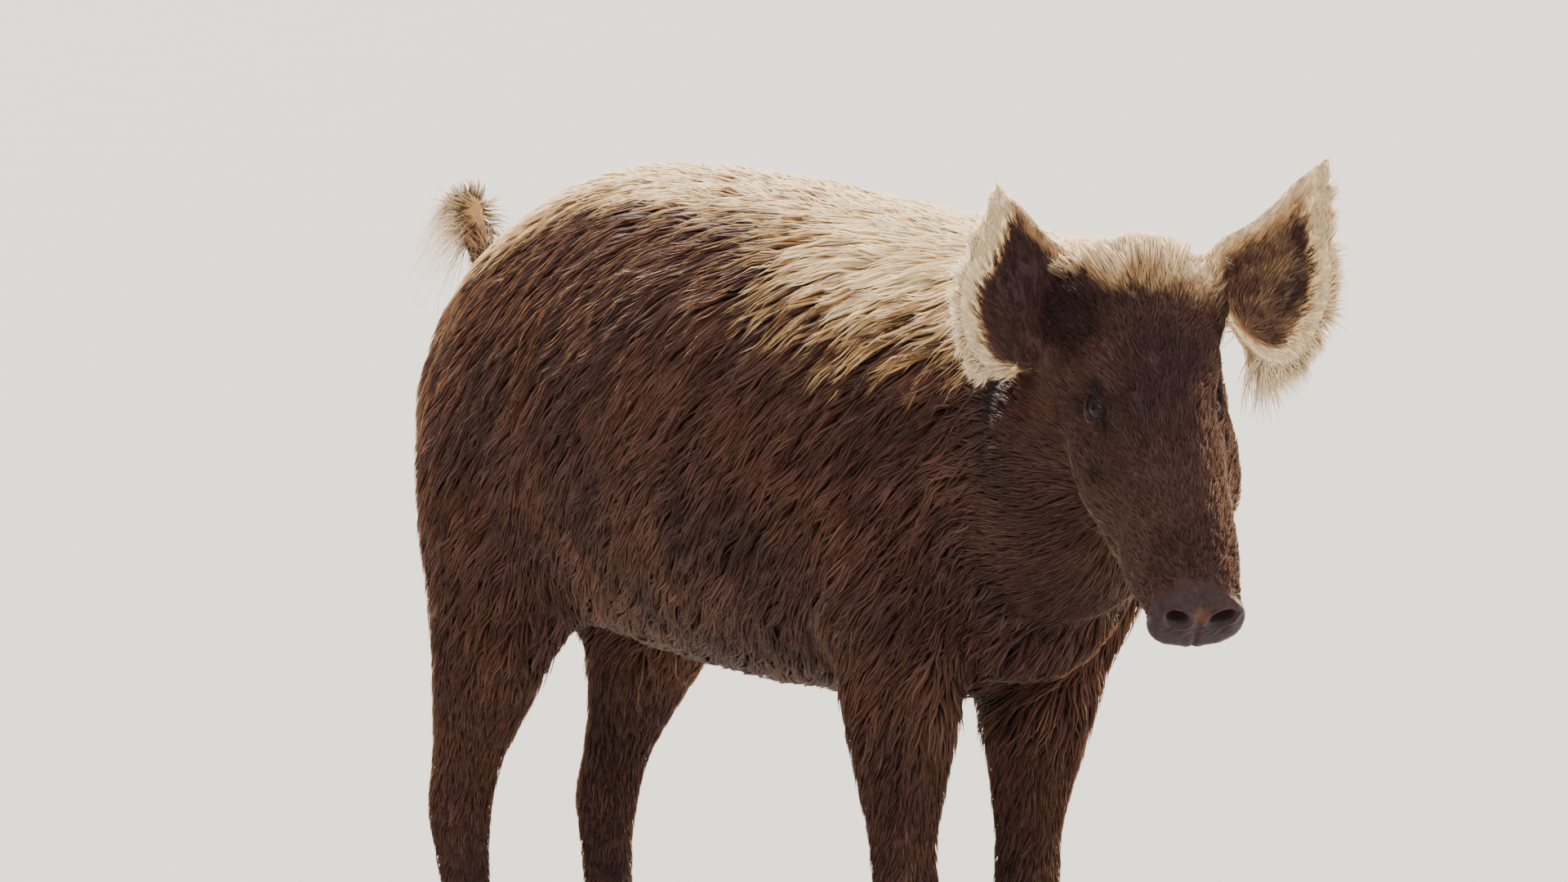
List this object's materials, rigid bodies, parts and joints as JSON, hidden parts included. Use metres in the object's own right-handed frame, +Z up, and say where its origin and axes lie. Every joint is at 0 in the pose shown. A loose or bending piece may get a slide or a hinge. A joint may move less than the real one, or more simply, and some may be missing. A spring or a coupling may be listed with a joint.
{
  "type": "feral pig",
  "caption": "Standing reddish-brown feral pig, head lowered and turned to its right, ears up, tail raised, on cloven hooves: a still, life-size model.",
  "frame": {"origin": "on the floor, under the middle of the whole animal's box", "axes": "+X to the animal's left, -Y the way its trunk faces, so +Y towards the tail, and +Z up"},
  "size_m": [0.3532, 1.3574, 0.7859],
  "materials": {
    "coat": "matt, coarse hair in wavy locks",
    "face": "matt, short hair lying flat",
    "ear": "hide with short hair and a pale fringe",
    "snout": "bare, damp, finely creased skin",
    "eye": "wet gloss",
    "hoof": "worn horn"
  },
  "bodies": {
    "root": {"head": "face", "lower_jaw": "face", "snout_disc": "snout", "ear_left": "ear", "ear_right": "ear", "eye_left": "eye", "eye_right": "eye", "neck": "coat", "chest": "coat", "barrel": "coat", "rump": "coat", "shoulder_left": "coat", "shoulder_right": "coat", "thigh_left": "coat", "thigh_right": "coat", "foreleg_left_upper": "coat", "foreleg_left_lower": "coat", "foreleg_left_hoof_left": "hoof", "foreleg_left_hoof_right": "hoof", "foreleg_left_dewclaw_left": "hoof", "foreleg_left_dewclaw_right": "hoof", "foreleg_right_upper": "coat", "foreleg_right_lower": "coat", "foreleg_right_hoof_left": "hoof", "foreleg_right_hoof_right": "hoof", "foreleg_right_dewclaw_left": "hoof", "foreleg_right_dewclaw_right": "hoof", "hindleg_left_upper": "coat", "hindleg_left_lower": "coat", "hindleg_left_hoof_left": "hoof", "hindleg_left_hoof_right": "hoof", "hindleg_left_dewclaw_left": "hoof", "hindleg_left_dewclaw_right": "hoof", "hindleg_right_upper": "coat", "hindleg_right_lower": "coat", "hindleg_right_hoof_left": "hoof", "hindleg_right_hoof_right": "hoof", "hindleg_right_dewclaw_left": "hoof", "hindleg_right_dewclaw_right": "hoof", "tail_base": "coat", "tail_middle": "coat", "tail_tip": "coat"}
  },
  "joints": []
}
